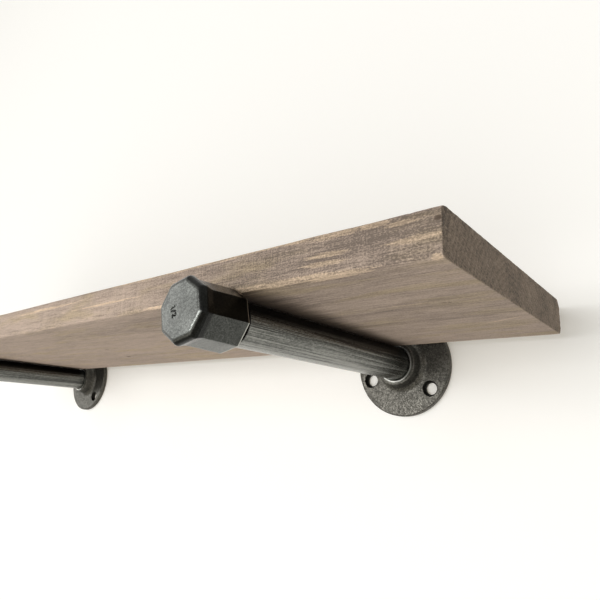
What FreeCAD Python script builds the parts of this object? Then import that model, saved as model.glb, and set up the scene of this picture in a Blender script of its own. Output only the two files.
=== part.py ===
import FreeCAD, Part
import math
import os

os.makedirs("parts", exist_ok=True)

# A plank laid on two pipe brackets. Each bracket is a cast floor flange on the wall, a length
# of steel pipe screwed into it, and an octagonal cast cap screwed onto the free end.
# Millimetres. Origin on the wall, midway between the flanges, at the height of the pipe axes.
# +X runs along the plank, +Y into the wall and +Z up.

# ---- Driving dimensions ----

# Plank
board_length = 609.6
board_depth = 150.0
board_thickness = 19.05
board_edge_radius = 2.0

# How far the plank runs on past each pipe's axis
board_overhang = 101.6

# Pipe, half-inch size
pipe_outer_diameter = 21.3
pipe_wall = 2.8
pipe_end_chamfer = 0.8
pipe_gap_to_wall = 1.0

# Floor flange
flange_diameter = 67.0
flange_height = 14.0
plate_thickness = 4.0
plate_edge_chamfer = 0.8
collar_mouth_diameter = 28.4
collar_root_diameter = 30.0
collar_edge_chamfer = 0.6
collar_root_fillet = 4.0
collar_mouth_chamfer = 0.9

# Screw holes in the flange, cast with a countersink
hole_count = 3
hole_circle_diameter = 50.8
hole_diameter = 7.6
countersink_diameter = 10.4
countersink_depth = 2.0

# Octagonal end cap, flared towards its closed end
cap_flat_count = 8
cap_length = 23.0
cap_mouth_across_flats = 26.2
cap_neck_across_flats = 25.0
cap_rim_across_flats = 26.6
cap_neck_distance = 6.5
cap_rim_distance = 2.6
cap_mouth_edge_radius = 0.6
cap_neck_radius = 8.0
cap_flare_radius = 1.5
cap_face_radius = 2.0
cap_end_wall = 3.6
cap_mouth_chamfer = 0.9
cap_thread_engagement = 14.0

# How far each piece was turned when it was screwed home, degrees, anticlockwise from the front
right_flange_turn = -38.0
left_flange_turn = -47.0
right_cap_turn = 12.9
left_cap_turn = -4.0

# Clearances
seat_clearance = 0.3
collar_clearance = 0.3
cap_clearance = 0.5

# ---- Sizes that follow ----

bracket_spacing = board_length - 2 * board_overhang
pipe_radius = pipe_outer_diameter / 2
board_bottom = pipe_radius + seat_clearance
board_back = flange_height + collar_clearance
board_front = board_back + board_depth
cap_mouth = board_front + cap_clearance
pipe_front = cap_mouth + cap_thread_engagement
pipe_length = pipe_front - pipe_gap_to_wall
cap_cavity_depth = cap_length - cap_end_wall

ORIGIN = FreeCAD.Vector(0, 0, 0)
ALONG_X = FreeCAD.Vector(1, 0, 0)
LOCAL_AXIS = FreeCAD.Vector(0, 0, 1)


# ---- Drawing helpers ----

def rounded_outline(corners):
    """Closed wire in the XZ plane through (across, height, radius) corners, each one rounded."""
    edges = []
    starts = []
    ends = []
    arcs = []
    count = len(corners)
    for index, (across, height, radius) in enumerate(corners):
        corner = FreeCAD.Vector(across, 0, height)
        before = FreeCAD.Vector(corners[index - 1][0], 0, corners[index - 1][1])
        following = corners[(index + 1) % count]
        after = FreeCAD.Vector(following[0], 0, following[1])
        if radius == 0:
            starts.append(corner)
            ends.append(corner)
            arcs.append(None)
            continue
        towards_before = (before - corner).normalize()
        towards_after = (after - corner).normalize()
        half_angle = towards_before.getAngle(towards_after) / 2
        tangent_length = radius / math.tan(half_angle)
        inward = (towards_before + towards_after).normalize()
        start = corner + towards_before * tangent_length
        end = corner + towards_after * tangent_length
        middle = corner + inward * (radius / math.sin(half_angle) - radius)
        starts.append(start)
        ends.append(end)
        arcs.append(Part.Arc(start, middle, end).toShape())
    for index in range(count):
        if arcs[index] is not None:
            edges.append(arcs[index])
        edges.append(Part.LineSegment(ends[index], starts[(index + 1) % count]).toShape())
    return Part.Wire(edges)


def turned(corners):
    """Solid of revolution about the local axis from (radius, height, rounding) corners."""
    return Part.Face(rounded_outline(corners)).revolve(ORIGIN, LOCAL_AXIS, 360)


def place_on_axis(shape, x, distance, turn):
    """Stand a piece out from the wall: its local axis leaves the wall along -Y at x."""
    placed = shape.copy()
    placed.rotate(ORIGIN, LOCAL_AXIS, turn)
    placed.rotate(ORIGIN, ALONG_X, 90)
    placed.translate(FreeCAD.Vector(x, -distance, 0))
    return placed


# ---- Pieces, each standing on its local axis ----

def flange():
    """Floor flange: round plate, drafted collar with a filleted root, countersunk screw holes."""
    rim = flange_diameter / 2
    collar_mouth = collar_mouth_diameter / 2
    body = turned([
        (pipe_radius, 0, 0),
        (rim, 0, 0),
        (rim, plate_thickness - plate_edge_chamfer, 0),
        (rim - plate_edge_chamfer, plate_thickness, 0),
        (collar_root_diameter / 2, plate_thickness, collar_root_fillet),
        (collar_mouth, flange_height - collar_edge_chamfer, 0),
        (collar_mouth - collar_edge_chamfer, flange_height, 0),
        (pipe_radius + collar_mouth_chamfer, flange_height, 0),
        (pipe_radius, flange_height - collar_mouth_chamfer, 0),
    ])
    hole = hole_diameter / 2
    sink = countersink_diameter / 2
    throat_depth = plate_thickness - countersink_depth
    screw_hole = Part.makeCylinder(hole, plate_thickness)
    countersink = Part.makeCone(hole, sink, countersink_depth, FreeCAD.Vector(0, 0, throat_depth))
    cutter = screw_hole.fuse(countersink)
    cutter.translate(FreeCAD.Vector(hole_circle_diameter / 2, 0, 0))
    for number in range(hole_count):
        turned_cutter = cutter.copy()
        turned_cutter.rotate(ORIGIN, LOCAL_AXIS, number * 360 / hole_count)
        body = body.cut(turned_cutter)
    return body


def pipe():
    """Open steel tube, chamfered at both ends to lead it into the flange and the cap."""
    bore = pipe_radius - pipe_wall
    return turned([
        (bore, 0, 0),
        (pipe_radius - pipe_end_chamfer, 0, 0),
        (pipe_radius, pipe_end_chamfer, 0),
        (pipe_radius, pipe_length - pipe_end_chamfer, 0),
        (pipe_radius - pipe_end_chamfer, pipe_length, 0),
        (bore, pipe_length, 0),
    ])


def flat_pair():
    """Bar with the cap's side profile on two opposite flats."""
    mouth = cap_mouth_across_flats / 2
    neck = cap_neck_across_flats / 2
    rim = cap_rim_across_flats / 2
    neck_height = cap_length - cap_neck_distance
    rim_height = cap_length - cap_rim_distance
    side = [
        (mouth, 0, cap_mouth_edge_radius),
        (neck, neck_height, cap_neck_radius),
        (rim, rim_height, cap_flare_radius),
        (rim, cap_length, cap_face_radius),
    ]
    other_side = [(-across, height, radius) for across, height, radius in reversed(side)]
    width = 2 * max(mouth, rim)
    bar = Part.Face(rounded_outline(side + other_side)).extrude(FreeCAD.Vector(0, width, 0))
    bar.translate(FreeCAD.Vector(0, -width / 2, 0))
    return bar


def cap():
    """Octagonal cap: bars with the side profile crossed into eight flats, bored for the pipe."""
    bar = flat_pair()
    body = bar
    for number in range(1, cap_flat_count // 2):
        turned_bar = bar.copy()
        turned_bar.rotate(ORIGIN, LOCAL_AXIS, number * 360 / cap_flat_count)
        body = body.common(turned_bar)
    cavity = turned([
        (0, 0, 0),
        (pipe_radius + cap_mouth_chamfer, 0, 0),
        (pipe_radius, cap_mouth_chamfer, 0),
        (pipe_radius, cap_cavity_depth, 0),
        (0, cap_cavity_depth, 0),
    ])
    return body.cut(cavity)


def board():
    """Plank, eased along its four long edges, across both pipes between collars and caps."""
    half_depth = board_depth / 2
    section = rounded_outline([
        (-half_depth, 0, board_edge_radius),
        (half_depth, 0, board_edge_radius),
        (half_depth, board_thickness, board_edge_radius),
        (-half_depth, board_thickness, board_edge_radius),
    ])
    plank = Part.Face(section).extrude(FreeCAD.Vector(0, board_length, 0))
    plank.rotate(ORIGIN, LOCAL_AXIS, -90)
    plank.translate(FreeCAD.Vector(-board_length / 2, -(board_back + half_depth), board_bottom))
    return plank


# ---- Assembly ----

def build():
    """All pieces in place, by name."""
    pieces = {"shelf_board": board()}
    sides = [
        ("right", bracket_spacing / 2, right_flange_turn, right_cap_turn),
        ("left", -bracket_spacing / 2, left_flange_turn, left_cap_turn),
    ]
    for side, x, flange_turn, cap_turn in sides:
        pieces[side + "_flange"] = place_on_axis(flange(), x, 0, flange_turn)
        pieces[side + "_pipe"] = place_on_axis(pipe(), x, pipe_gap_to_wall, 0)
        pieces[side + "_end_cap"] = place_on_axis(cap(), x, cap_mouth, cap_turn)
    return pieces


for name, shape in build().items():
    print(name, "valid", shape.isValid(), "solids", len(shape.Solids), "volume", round(shape.Volume, 1))
    shape.exportStep("parts/" + name + ".step")
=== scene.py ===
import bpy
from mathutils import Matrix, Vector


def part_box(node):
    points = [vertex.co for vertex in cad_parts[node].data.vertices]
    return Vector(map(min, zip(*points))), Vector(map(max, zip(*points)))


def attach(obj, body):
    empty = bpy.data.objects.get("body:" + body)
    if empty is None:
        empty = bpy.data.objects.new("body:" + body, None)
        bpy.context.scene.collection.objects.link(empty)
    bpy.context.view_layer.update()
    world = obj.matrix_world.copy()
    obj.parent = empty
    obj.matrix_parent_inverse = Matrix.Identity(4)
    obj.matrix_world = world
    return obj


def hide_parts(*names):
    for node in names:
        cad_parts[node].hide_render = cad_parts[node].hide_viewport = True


bl_info = {
    "name": "Pipe Shelf",
    "version": (1, 0, 0),
    "blender": (4, 5, 0),
    "location": "3D View > Sidebar > Pipe Shelf",
    "description": "Builds a plank on two pipe brackets, its finishes and its stage",
    "category": "Add Mesh",
}

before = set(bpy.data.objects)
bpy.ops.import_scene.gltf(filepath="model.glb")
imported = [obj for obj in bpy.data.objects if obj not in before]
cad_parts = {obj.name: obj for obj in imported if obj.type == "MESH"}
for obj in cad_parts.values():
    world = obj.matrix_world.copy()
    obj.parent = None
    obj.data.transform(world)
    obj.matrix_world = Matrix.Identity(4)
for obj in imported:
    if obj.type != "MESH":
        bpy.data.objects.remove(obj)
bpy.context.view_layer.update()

import itertools
import math

import bmesh
import bpy
import numpy as np
from bpy.props import FloatProperty, FloatVectorProperty, IntProperty, PointerProperty
from mathutils import Vector

MM = 0.001

# Each bracket's side of the middle, and how far its flange and cap were turned when they were
# screwed home, in degrees anticlockwise from the front
SIDES = {"right": 1.0, "left": -1.0}
FLANGE_TURNS = {"right": -38.0, "left": -47.0}
CAP_TURNS = {"right": 12.9, "left": -4.0}
CAP_FLATS = 8

# Seeds of the noises that shape the meshes
GRAIN_SEED = 11
WEAR_SEED = 23
NICK_SEED = 31
ROUGH_SEED = 41
SAW_SEED = 53
TORN_SEED = 61
FLANGE_SEED = 71
DRAWN_SEED = 83
WAVE_SEED = 89
CAP_SEED = 97

# Whole numbers that scramble a cell's place and a seed into noise
CELL_FACTORS = (73856093, 19349663, 83492791)
SEED_FACTOR = 7919
SCRAMBLE_FACTOR = 1274126177

# Camera: place in metres, turn about x, y and z in degrees, lens in millimetres
CAMERA_PLACE = (0.36991, -0.31301, -0.04502)
CAMERA_TURN = (104.19184, -2.56897, 39.22619)
CAMERA_LENS = 30.824

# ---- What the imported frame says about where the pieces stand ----

plank_low, plank_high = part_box("shelf_board")
flange_low, flange_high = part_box("right_flange")
pipe_low, pipe_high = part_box("right_pipe")
cap_low, cap_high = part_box("right_end_cap")

bracket_x = (pipe_low.x + pipe_high.x) / 2
pipe_radius = (pipe_high.x - pipe_low.x) / 2
flange_radius = (flange_high.z - flange_low.z) / 2
flange_height = flange_high.y - flange_low.y
cap_mouth = -cap_high.y
cap_length = cap_high.y - cap_low.y
pipe_start = -pipe_high.y
pipe_length = pipe_high.y - pipe_low.y


# ---- Sizes, colours and strengths that a user may change ----

def length(name, description, millimetres):
    return FloatProperty(name=name, description=description, default=millimetres * MM, min=0.0,
                         precision=5, unit="LENGTH")


def strength(name, description, default):
    return FloatProperty(name=name, description=description, default=default, min=0.0)


def colour(name, description, default):
    return FloatVectorProperty(name=name, description=description, default=default, size=3,
                               min=0.0, max=1.0, subtype="COLOR")


class PlankSettings(bpy.types.PropertyGroup):
    edge_radius: length("Edge radius", "Rounding along the long edges", 2.0)
    end_radius: length("End radius", "Rounding round the sawn ends", 0.7)
    relief: length("Relief", "Depth of the worn grain", 0.16)
    edge_wear: length("Edge wear", "Depth of the nicks along the edges", 0.45)
    seat_depth: length("Seat depth", "How deep the caps press into the front edge", 2.5)
    ring_spacing: length("Ring spacing", "Distance from one growth ring to the next", 2.9)
    wood_colour: colour("Wood", "Weathered face of the plank", (0.395, 0.308, 0.245))
    golden_colour: colour("Golden", "Hue of the less weathered parts", (0.40, 0.312, 0.212))
    worn_colour: colour("Worn", "Rubbed places where the pale wood shows", (0.60, 0.455, 0.32))
    knot_colour: colour("Knots", "Pin knots and dark flecks", (0.07, 0.045, 0.03))
    end_colour: colour("Ends", "Sawn ends, which take more stain", (0.255, 0.198, 0.148))


class FlangeSettings(bpy.types.PropertyGroup):
    plate_thickness: length("Plate thickness", "Thickness of the round plate", 4.0)
    plate_edge: length("Plate edge", "Rounding of the plate's front edge", 0.8)
    collar_mouth: length("Collar mouth", "Collar diameter at its mouth", 28.4)
    collar_root: length("Collar root", "Collar diameter at the plate", 30.0)
    root_fillet: length("Root fillet", "Fillet between collar and plate", 4.0)
    mouth_chamfer: length("Mouth chamfer", "Machined chamfer inside the mouth", 0.9)
    hole_circle: length("Hole circle", "Diameter of the circle of screw holes", 50.8)
    hole_diameter: length("Hole", "Diameter of a screw hole", 7.6)
    sink_diameter: length("Countersink", "Diameter of a countersink", 10.4)
    sink_depth: length("Countersink depth", "Depth of a countersink", 2.0)
    hole_count: IntProperty(name="Holes", description="Number of screw holes", default=3, min=1)
    iron_colour: colour("Iron", "Sand-cast iron", (0.086, 0.0825, 0.0725))
    bare_colour: colour("Bare metal", "Machined ring at the collar's mouth", (0.46, 0.46, 0.43))


class PipeSettings(bpy.types.PropertyGroup):
    wall: length("Wall", "Wall thickness of the pipe", 2.8)
    end_chamfer: length("End chamfer", "Chamfer at each end", 0.8)
    thread_pitch: length("Thread pitch", "Advance of the thread in one turn", 1.814)
    thread_depth: length("Thread depth", "Depth of the thread", 0.9)
    steel_colour: colour("Steel", "Dark lacquered steel", (0.055, 0.056, 0.052))
    # Also the colour of the painted light along the pipe's underside
    streak_and_underlight_colour: colour("Streaks", "Drawing marks along the pipe", (0.25, 0.252, 0.232))


class CapSettings(bpy.types.PropertyGroup):
    mouth_across: length("Mouth", "Width across flats at the mouth", 27.0)
    neck_across: length("Neck", "Width across flats at the neck", 25.8)
    rim_across: length("Rim", "Width across flats at the rim", 27.6)
    neck_distance: length("Neck distance", "From the closed end back to the neck", 6.8)
    rim_distance: length("Rim distance", "From the closed end back to the rim", 3.4)
    face_radius: length("Face radius", "Rounding round the closed end", 3.0)
    corner_radius: length("Corner radius", "Rounding of the corners between flats", 1.0)
    end_wall: length("End wall", "Thickness of the closed end", 3.6)
    seat: length("Seat", "How far the mouth beds into the plank's edge", 2.1)
    crown: length("Crown", "How far the closed end stands out further", 1.2)
    numeral_height: length("Numeral height", "Height of the sunk size numerals", 2.4)
    iron_colour: colour("Iron", "Black cast iron", (0.058, 0.060, 0.056))
    # The lip's colour also serves as a painted highlight along the mouth's edge
    lip_colour: colour("Lip", "Machined edge of the mouth", (0.42, 0.42, 0.38))


class StageSettings(bpy.types.PropertyGroup):
    wall_colour: colour("Wall", "Paint of the wall", (0.89, 0.892, 0.885))
    lamp_strength: strength("Lamp", "Strength of the wide soft lamp", 0.80)
    side_strength: strength("Side lamp", "Strength of the soft lamp at the side", 0.49)
    softbox_strength: strength("Soft box", "Strength of the long soft box", 0.95)
    room_light: strength("Room", "Light from the room on matt surfaces", 0.15)


# ---- Shaping helpers ----

def smooth(share):
    """Smooth step of a share that already lies from 0 to 1."""
    return share * share * (3.0 - 2.0 * share)


def ease(values, low, high):
    """Smooth step from 0 at low to 1 at high."""
    return smooth(np.clip((values - low) / (high - low), 0.0, 1.0))


def smooth_noise(points, seed):
    """Smooth noise from -1 to 1 at each point, one cell to a unit."""
    cell = np.floor(points).astype(np.int64)
    part = smooth(points - cell)
    total = np.zeros(len(points))
    for corner in itertools.product((0, 1), repeat=3):
        weight = np.ones(len(points))
        for axis in range(3):
            weight *= part[:, axis] if corner[axis] else 1.0 - part[:, axis]
        keys = (cell + np.array(corner)) * CELL_FACTORS
        key = keys[:, 0] ^ keys[:, 1] ^ keys[:, 2] ^ seed * SEED_FACTOR
        key = (key ^ (key >> 13)) * SCRAMBLE_FACTOR
        level = (key ^ (key >> 16)) & 0xFFFF
        total += weight * (level / 32767.5 - 1.0)
    return total


def layered_noise(points, seed, layers):
    """Noise with finer and fainter layers added."""
    total = np.zeros(len(points))
    for layer in range(layers):
        total += smooth_noise(points * 2.0 ** layer, seed + layer) * 0.5 ** layer
    return total


def rounded_path(corners, steps=6):
    """Open path through (across, along, radius) corners with each inner corner rounded."""
    path = [Vector(corners[0][:2])]
    for before, here, after in zip(corners, corners[1:], corners[2:]):
        corner = Vector(here[:2])
        radius = here[2]
        if radius == 0.0:
            path.append(corner)
            continue
        back = (Vector(before[:2]) - corner).normalized()
        forward = (Vector(after[:2]) - corner).normalized()
        half = back.angle(forward) / 2
        reach = radius / math.tan(half)
        centre = corner + (back + forward).normalized() * (radius / math.sin(half))
        first = corner + back * reach - centre
        sweep = first.angle_signed(corner + forward * reach - centre)
        for step in range(steps + 1):
            angle = math.atan2(first.y, first.x) - sweep * step / steps
            path.append(centre + radius * Vector((math.cos(angle), math.sin(angle))))
    path.append(Vector(corners[-1][:2]))
    return path


def divided(path, longest):
    """The same path with no run longer than longest, and without runs of no length."""
    points = [path[0]]
    for start, end in zip(path, path[1:]):
        run = (end - start).length
        if run < 0.0001 * MM:
            continue
        pieces = max(1, math.ceil(run / longest))
        points += [start.lerp(end, piece / pieces) for piece in range(1, pieces + 1)]
    return np.array(points)


def spun(points, angle):
    """The points turned about their own axis."""
    across = points[..., 0] * math.cos(angle) - points[..., 1] * math.sin(angle)
    up = points[..., 0] * math.sin(angle) + points[..., 1] * math.cos(angle)
    return np.stack([across, up, points[..., 2]], -1)


def turned_grid(profile, angles):
    """Rings of a turned surface: one row for each (radius, height) of the profile."""
    radius = profile[:, :1]
    height = np.repeat(profile[:, 1:], len(angles), axis=1)
    return np.stack([radius * np.cos(angles), radius * np.sin(angles), height], -1)


def level_ring(outline, height):
    """The (x, y) outline as a ring of points at one height."""
    return np.column_stack([outline, np.full(len(outline), height)])


class Shell:
    """Points and faces of one piece, gathered patch by patch and welded at the end."""

    def __init__(self):
        self.points = []
        self.quads = []
        self.count = 0

    def add_rings(self, grid):
        """Adds rings of points, each joined by quads to the next."""
        rows, columns = grid.shape[:2]
        index = np.arange(rows * columns).reshape(rows, columns) + self.count
        index = np.hstack([index, index[:, :1]])
        corners = [index[:-1, :-1], index[:-1, 1:], index[1:, 1:], index[1:, :-1]]
        self.quads.append(np.stack(corners, -1).reshape(-1, 4))
        self.points.append(grid.reshape(-1, 3))
        self.count += rows * columns

    def stand_out(self, x, distance, turn):
        """Turns the piece about its own axis, which then leaves the wall at x, distance from it."""
        placed = []
        for points in self.points:
            across, up, along = np.moveaxis(spun(points, math.radians(turn)), -1, 0)
            placed.append(np.stack([across + x, -(along + distance), up], -1))
        self.points = placed

    def build(self, name):
        """Welds the points that lie within a micrometre into one mesh object."""
        points, where = np.unique(np.round(np.vstack(self.points), 7), axis=0,
                                  return_inverse=True)
        quads = where.reshape(-1)[np.vstack(self.quads)]
        faces = []
        for quad in quads.tolist():
            face = list(dict.fromkeys(quad))
            if len(face) > 2:
                faces.append(face)
        mesh = bpy.data.meshes.new(name)
        mesh.from_pydata(points.tolist(), [], faces)
        shell = bmesh.new()
        shell.from_mesh(mesh)
        bmesh.ops.remove_doubles(shell, verts=shell.verts, dist=0.001 * MM)
        bmesh.ops.recalc_face_normals(shell, faces=shell.faces)
        shell.to_mesh(mesh)
        shell.free()
        mesh.shade_smooth()
        piece = bpy.data.objects.new(name, mesh)
        bpy.context.scene.collection.objects.link(piece)
        return piece


def read_points(mesh, what="co"):
    """Each point's place, or its normal, as one row."""
    values = np.zeros(len(mesh.vertices) * 3, np.float32)
    mesh.vertices.foreach_get(what, values)
    return values.reshape(-1, 3).astype(float)


def write_points(mesh, points):
    """Puts each point where its row says."""
    mesh.vertices.foreach_set("co", points.astype(np.float32).ravel())
    mesh.update()


def push_along_normals(mesh, heights):
    """Raises each point by its height along its normal."""
    write_points(mesh, read_points(mesh) + read_points(mesh, "normal") * heights[:, None])


# ---- Finishes ----

class Finish:
    """One procedural material, written a node at a time."""

    def __init__(self, name):
        self.material = bpy.data.materials.new(name)
        self.material.use_nodes = True
        self.tree = self.material.node_tree
        self.shader = self.tree.nodes["Principled BSDF"]
        self.place = self.tree.nodes.new("ShaderNodeTexCoord").outputs["Object"]

    def node(self, kind, **settings):
        made = self.tree.nodes.new("ShaderNode" + kind)
        for key, value in settings.items():
            setattr(made, key, value)
        return made

    def plug(self, socket, value):
        if isinstance(value, bpy.types.NodeSocket):
            self.tree.links.new(value, socket)
        elif socket.type == "RGBA" and len(value) == 3:
            socket.default_value = (*value, 1.0)
        else:
            socket.default_value = value

    def set(self, **inputs):
        for key, value in inputs.items():
            self.plug(self.shader.inputs[key.replace("_", " ")], value)

    def reckon(self, operation, *values):
        made = self.node("Math", operation=operation)
        for socket, value in zip(made.inputs, values):
            self.plug(socket, value)
        return made.outputs[0]

    def plus(self, first, second):
        return self.reckon("ADD", first, second)

    def minus(self, first, second):
        return self.reckon("SUBTRACT", first, second)

    def times(self, first, second):
        return self.reckon("MULTIPLY", first, second)

    def times_plus(self, first, second, third):
        return self.reckon("MULTIPLY_ADD", first, second, third)

    def diagonal(self, across, along):
        squared = self.times_plus(along, along, self.times(across, across))
        return self.reckon("SQRT", squared)

    def vector(self, operation, first, second=(0.0, 0.0, 0.0)):
        made = self.node("VectorMath", operation=operation)
        self.plug(made.inputs[0], first)
        self.plug(made.inputs[1], second)
        single = operation in ("LENGTH", "DISTANCE", "DOT_PRODUCT")
        return made.outputs["Value" if single else "Vector"]

    def split(self, vector):
        made = self.node("SeparateXYZ")
        self.plug(made.inputs[0], vector)
        return made.outputs

    def facing(self):
        """The way the surface faces, as x, y and z."""
        return self.split(self.node("NewGeometry").outputs["Normal"])

    def noise(self, cells, detail=2.0, roughness=0.5, place=None):
        """Noise with so many cells to a metre along x, y and z, from 0 to 1."""
        made = self.node("TexNoise")
        self.plug(made.inputs["Vector"], self.vector("MULTIPLY", place or self.place, cells))
        self.plug(made.inputs["Scale"], 1.0)
        self.plug(made.inputs["Detail"], detail)
        self.plug(made.inputs["Roughness"], roughness)
        return made.outputs["Fac"]

    def grains(self, cells):
        """Crystals with so many to a metre along x, y and z, each of its own level from 0 to 1."""
        made = self.node("TexVoronoi")
        self.plug(made.inputs["Vector"], self.vector("MULTIPLY", self.place, cells))
        self.plug(made.inputs["Scale"], 1.0)
        return self.split(made.outputs["Color"])[0]

    def weigh(self, middle, *parts):
        """middle plus each noise about its own middle, times its weight."""
        total = middle - sum(weight for _, weight in parts) / 2
        for noise, weight in parts:
            total = self.times_plus(noise, weight, total)
        return total

    def remap(self, value, low, high, to_low=0.0, to_high=1.0):
        """Smooth step from to_low where value is low, to to_high where it is high."""
        made = self.node("MapRange", interpolation_type="SMOOTHSTEP")
        for socket, entry in zip(made.inputs, (value, low, high, to_low, to_high)):
            self.plug(socket, entry)
        return made.outputs[0]

    def band(self, value, rise, fall):
        """1 between the rise and the fall, each given as (where it is 0, where it is 1)."""
        return self.times(self.remap(value, *rise), self.remap(value, *fall))

    def mix(self, share, first, second, blend="MIX"):
        """Blends two colours, which are sockets 6 and 7 of the node, with the result at 2."""
        made = self.node("Mix", data_type="RGBA", blend_type=blend)
        self.plug(made.inputs[0], share)
        self.plug(made.inputs[6], first)
        self.plug(made.inputs[7], second)
        return made.outputs[2]

    def darkened(self, share, tint, level):
        return self.mix(share, tint, (level, level, level), "MULTIPLY")

    def shades(self, value, tint, *stops):
        """The tint by the factors of (position, factor) stops as value goes from 0 to 1."""
        made = self.node("ValToRGB")
        ramp = made.color_ramp
        while len(ramp.elements) < len(stops):
            ramp.elements.new(0.5)
        for element, (position, factor) in zip(ramp.elements, stops):
            element.position = position
            element.color = (*(factor * level for level in tint), 1.0)
        self.plug(made.inputs[0], value)
        return made.outputs[0]

    def bump(self, height, distance):
        made = self.node("Bump")
        self.plug(made.inputs["Height"], height)
        self.plug(made.inputs["Distance"], distance)
        self.plug(self.shader.inputs["Normal"], made.outputs["Normal"])

    def marks(self, places, ragged):
        """Ragged spots, 1 inside and 0 outside, at each (centre, reach)."""
        far = 10.0
        outside = 1.5
        inside = 0.7
        nearest = far
        for centre, reach in places:
            scale = tuple(1.0 / value for value in reach)
            apart = self.vector("MULTIPLY", self.vector("SUBTRACT", self.place, centre), scale)
            nearest = self.reckon("MINIMUM", nearest, self.vector("LENGTH", apart))
        return self.remap(self.minus(nearest, ragged), outside, inside)

    def stroke(self, start, end, half_width):
        """Thin line from start to end, 1 on the line and 0 beside it."""
        core = half_width * 0.3
        along = end - start
        from_start = self.vector("SUBTRACT", self.place, start[:])
        share = self.vector("DOT_PRODUCT", from_start, (along / along.length_squared)[:])
        share = self.reckon("MINIMUM", self.reckon("MAXIMUM", share, 0.0), 1.0)
        reached = self.node("VectorMath", operation="SCALE")
        self.plug(reached.inputs[0], along[:])
        self.plug(reached.inputs["Scale"], share)
        apart = self.vector("DISTANCE", from_start, reached.outputs[0])
        return self.remap(apart, half_width, core)

    def tilted_place(self, tilt):
        """The point turned about the plank's length, so that saw marks run aslant."""
        made = self.node("VectorRotate", rotation_type="X_AXIS")
        self.plug(made.inputs["Vector"], self.place)
        self.plug(made.inputs["Angle"], math.radians(tilt))
        return made.outputs[0]


def on_front(x, height, wide, tall, into=4):
    """Place on the plank's front edge as (centre, reach), from millimetres above its foot."""
    centre = (x * MM, plank_low.y, plank_low.z + height * MM)
    return centre, (wide * MM, into * MM, tall * MM)


def on_base(x, y, wide, deep, into=4):
    """Place on the plank's underside as (centre, reach), from millimetres."""
    return (x * MM, y * MM, plank_low.z), (wide * MM, deep * MM, into * MM)


def rubbed_places():
    """Pale rubbed places on the plank's front edge."""
    return [on_front(*row) for row in (
        (302, 0.8, 1.6, 1.0),
        (294, 8.2, 9, 0.9),
        (289, 15.05, 5, 0.8),
        (279, 16.85, 6, 1.0),
        (262, 17.25, 11, 1.2),
        (262, 0.8, 15, 0.8),
        (257, 9.25, 8, 1.1),
        (255, 6.05, 8, 1.0),
        (243, 17.85, 8, 1.0),
        (235, 1.6, 20, 1.1),
        (222, 18.85, 32, 1.3),
        (180, 1.0, 40, 1.0),
        (158, 18.45, 50, 0.9),
        (96, 9.0, 26, 0.5),
        (30, 14.05, 34, 0.7),
        (-150, 6.0, 60, 1.6),
        (-240, 15.05, 40, 1.5),
    )]


def dull_places():
    """Darker, wetter-stained places on the plank's front edge and underside."""
    return [
        on_front(268, 12.55, 26, 3),
        on_front(228, 10.05, 22, 4),
        on_front(186, 11.05, 26, 4),
        on_base(262, -78, 38, 1.8),
        on_base(250, -104, 30, 1.6),
        on_base(130, -140, 80, 9),
        on_base(60, -60, 90, 3),
    ]


def knot_places():
    """Pin knots and dark flecks."""
    return [
        on_front(303.2, 13.85, 1.1, 0.7, 3),
        on_base(282.3, -107.4, 0.8, 0.4, 1),
        on_base(279.8, -108.0, 1.2, 0.5, 1),
        on_base(-16.6, -92.2, 1.6, 1.2, 1),
        on_base(-35, -60, 2.2, 1.5, 1),
    ]


def scratches():
    """Pale scratches on the plank's underside: start, end and half width."""
    return [(Vector((start_x * MM, start_y * MM, plank_low.z)),
             Vector((end_x * MM, end_y * MM, plank_low.z)),
             half_width * MM) for start_x, start_y, end_x, end_y, half_width in (
        (281.7, -80.9, 297.6, -76.3, 0.55),
        (277.0, -58.0, 299.7, -67.4, 0.6),
        (256.8, -112.2, 277.3, -111.4, 0.45),
    )]


def stain_and_light_tone(finish, hair, fibre, fuzz, sawn, front):
    """Depth of the stain, 0.5 on average, finer on the front edge, with painted light: paler to the
    left, darker at the front's right end.
    """
    x = finish.split(finish.place)[0]
    streak = finish.noise((7.0, 110.0, 110.0), 3.0, 0.55)
    blotch = finish.noise((12.0, 45.0, 45.0), 3.0, 0.6)
    tone = finish.weigh(0.5, (hair, 1.0), (fibre, 0.55), (streak, 0.30), (blotch, 0.55),
                        (fuzz, 0.95))
    # Painted light: the front edge darkens towards the right end
    sawn_and_light_falloff = finish.plus(sawn, finish.remap(x, 300.0 * MM, 170.0 * MM, -0.22, 0.03))
    tone = finish.times_plus(sawn_and_light_falloff, front, tone)
    # Painted light: the plank pales towards the left
    tone = finish.plus(tone, finish.remap(x, 240.0 * MM, 20.0 * MM, 0.0, 0.17))
    return finish.times_plus(finish.marks(dull_places(), blotch), -0.13, tone)


def rubbed_wood(finish, plank, wood, tone, torn):
    """The wood with its rubbed places, scratches and knots, which break up into fibres."""
    rubbed = finish.marks(rubbed_places(), torn)
    for start, end, half_width in scratches():
        rubbed = finish.reckon("MAXIMUM", rubbed, finish.stroke(start, end, half_width))
    worn = finish.shades(tone, plank.worn_colour, (0.10, 0.60), (0.90, 1.40))
    wood = finish.mix(finish.times(rubbed, 0.85), wood, worn)
    knots = finish.marks(knot_places(), torn)
    return finish.mix(finish.times(knots, 0.8), wood, plank.knot_colour)


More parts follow.
